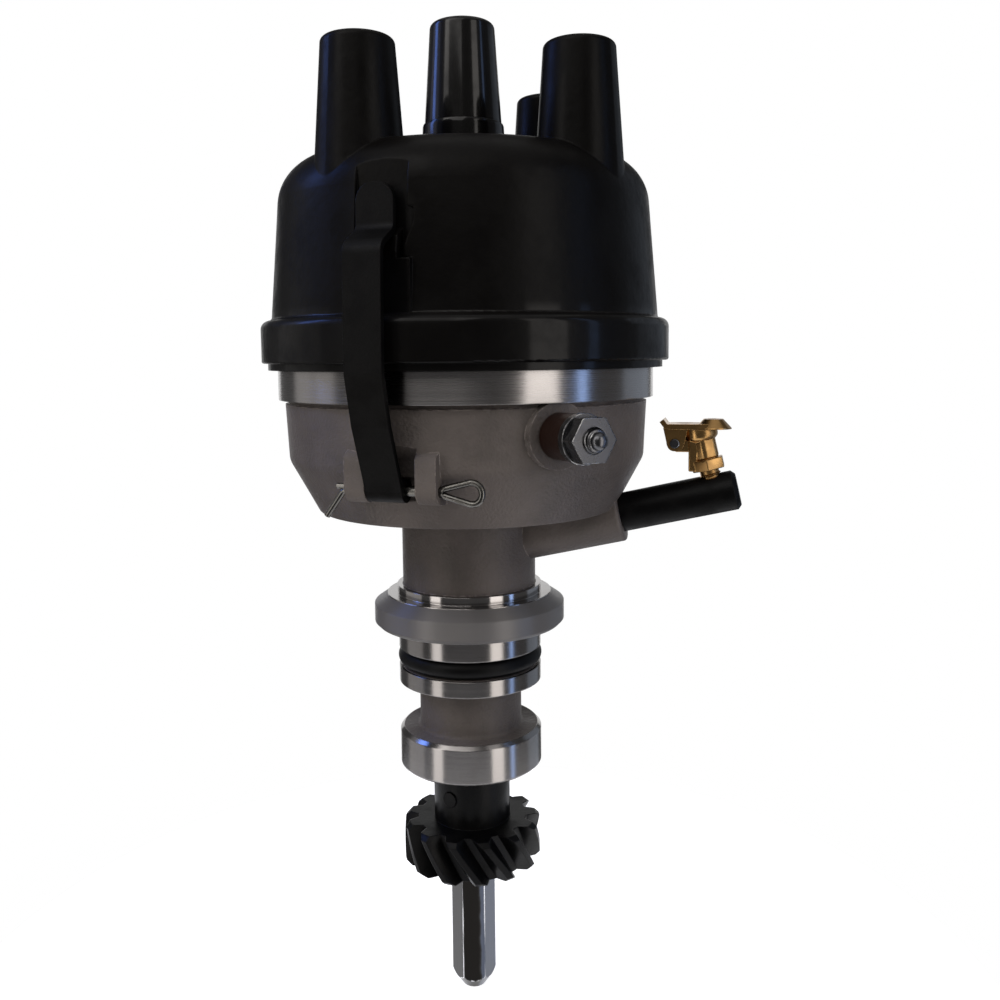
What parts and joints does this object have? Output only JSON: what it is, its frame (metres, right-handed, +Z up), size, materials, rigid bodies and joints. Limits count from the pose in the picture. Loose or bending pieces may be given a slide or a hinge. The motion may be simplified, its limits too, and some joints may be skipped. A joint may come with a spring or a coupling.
{
  "type": "ignition distributor",
  "caption": "Breaker-point ignition distributor with moulded cap, spring clips, cast aluminium bowl, helical drive gear and hexagonal oil-pump drive end.",
  "frame": {"origin": "on the shaft axis, level with the underside of the collar that rests on the engine", "axes": "+Z up along the shaft towards the cap, -Y the side with the primary terminal, +X to the right of it"},
  "size_m": [0.1012, 0.0943, 0.2147],
  "materials": {
    "cast_aluminium": "as cast, dull, with bright turned bands on the shank and bowl rim",
    "bronze": "sintered bronze, dull",
    "seal_rubber": "smooth, slightly oily",
    "black_tube": "satin black",
    "brass": "machined brass",
    "brown_insulator": "fibre-filled phenolic",
    "zinc_steel": "zinc plated",
    "copper_spring": "copper-faced spring strip",
    "black_moulding": "phenolic moulding",
    "lead_sheath": "varnished woven sleeve",
    "bright_steel": "ground bright steel",
    "black_gear": "black oxide, oiled",
    "felt": "wool felt",
    "cap_moulding": "gloss phenolic moulding",
    "electrode_aluminium": "turned",
    "carbon": "pressed carbon",
    "black_spring_steel": "black japanned spring steel"
  },
  "bodies": {
    "housing_body": {"housing": "cast_aluminium", "upper_bush": "bronze", "lower_bush": "bronze", "pilot_o_ring": "seal_rubber", "oil_tube": "black_tube", "oiler_body": "brass", "oiler_hinge_pin": "brass", "primary_insulator": "brown_insulator", "terminal_stud": "zinc_steel", "terminal_washer": "zinc_steel", "terminal_nut": "zinc_steel", "clip_split_pins": "zinc_steel", "breaker_plate": "zinc_steel", "breaker_plate_screws": "zinc_steel", "fixed_contact": "zinc_steel", "contact_lock_screw": "zinc_steel", "breaker_pivot_post": "zinc_steel", "points_terminal": "black_moulding", "primary_lead": "lead_sheath", "condenser": "zinc_steel", "condenser_strap": "zinc_steel", "condenser_screw": "zinc_steel"},
    "shaft": {"drive_shaft": "bright_steel", "drive_gear": "black_gear", "gear_pin": "bright_steel", "thrust_washers": "bronze", "weight_base_plate": "zinc_steel", "weight_pivot_pins": "bright_steel", "advance_springs": "bright_steel"},
    "cam": {"breaker_cam": "bright_steel", "cam_oil_wick": "felt", "rotor_arm": "black_moulding", "rotor_blade": "brass"},
    "weight_a": {"advance_weight_a": "zinc_steel"},
    "weight_b": {"advance_weight_b": "zinc_steel"},
    "points_arm": {"breaker_arm": "zinc_steel", "breaker_rubbing_block": "brown_insulator", "breaker_spring": "copper_spring"},
    "cap_body": {"cap": "cap_moulding", "cap_terminals": "electrode_aluminium", "centre_terminal": "electrode_aluminium", "brush_spring": "bright_steel"},
    "brush": {"carbon_brush": "carbon"},
    "clip_front": {"clip_a": "black_spring_steel"},
    "clip_back": {"clip_b": "black_spring_steel"},
    "lid": {"oiler_lid": "brass"}
  },
  "joints": [
    {"name": "shaft_spin", "type": "hinge", "parent": "housing_body", "child": "shaft", "pos_m": [0, 0, 0], "axis": [0, 0, -1], "continuous": true},
    {"name": "cam_advance", "type": "hinge", "parent": "shaft", "child": "cam", "pos_m": [0, 0, 0.05], "axis": [0, 0, -1], "range_deg": [0, 12], "stiffness_Nm_per_rad": 0.4, "deforming": ["advance_springs"]},
    {"name": "weight_a_swing", "type": "hinge", "parent": "shaft", "child": "weight_a", "pos_m": [0.018, 0, 0.0378], "axis": [0, 0, 1], "range_deg": [0, 24.01]},
    {"name": "weight_b_swing", "type": "hinge", "parent": "shaft", "child": "weight_b", "pos_m": [-0.018, 0, 0.0378], "axis": [0, 0, 1], "range_deg": [0, 24.01]},
    {"name": "breaker_opening", "type": "hinge", "parent": "housing_body", "child": "points_arm", "pos_m": [0.02, -0.016, 0.054], "axis": [0, 0, 1], "range_deg": [0, 3], "stiffness_Nm_per_rad": 0.15, "springref_deg": -5.73, "deforming": ["breaker_spring"]},
    {"name": "cap_lift", "type": "slide", "parent": "housing_body", "child": "cap_body", "axis": [0, 0, 1], "range_m": [0, 0.035]},
    {"name": "clip_front_swing", "type": "hinge", "parent": "housing_body", "child": "clip_front", "pos_m": [-0.01381, -0.03454, 0.034], "axis": [0.9285, -0.3714, 0], "range_deg": [0, 110.05]},
    {"name": "clip_back_swing", "type": "hinge", "parent": "housing_body", "child": "clip_back", "pos_m": [0.01381, 0.03454, 0.034], "axis": [-0.9285, 0.3714, 0], "range_deg": [0, 110.05]},
    {"name": "brush_slide", "type": "slide", "parent": "cap_body", "child": "brush", "axis": [0, 0, 1], "range_m": [0, 0.0015], "stiffness_N_per_m": 150, "springref_m": -0.004, "deforming": ["brush_spring"]},
    {"name": "oiler_lid_hinge", "type": "hinge", "parent": "housing_body", "child": "lid", "pos_m": [0.04376, -0.01172, 0.0402], "axis": [-0.2588, -0.9659, 0], "range_deg": [0, 85], "stiffness_Nm_per_rad": 0.004, "springref_deg": -28.65}
  ],
  "couplings": [
    {"joint": "weight_a_swing", "follows": "cam_advance", "ratio": 2},
    {"joint": "weight_b_swing", "follows": "cam_advance", "ratio": 2},
    {"joint": "clip_front_swing", "follows": "cap_lift", "rad_per_m": 54.85},
    {"joint": "clip_back_swing", "follows": "cap_lift", "rad_per_m": 54.85}
  ]
}
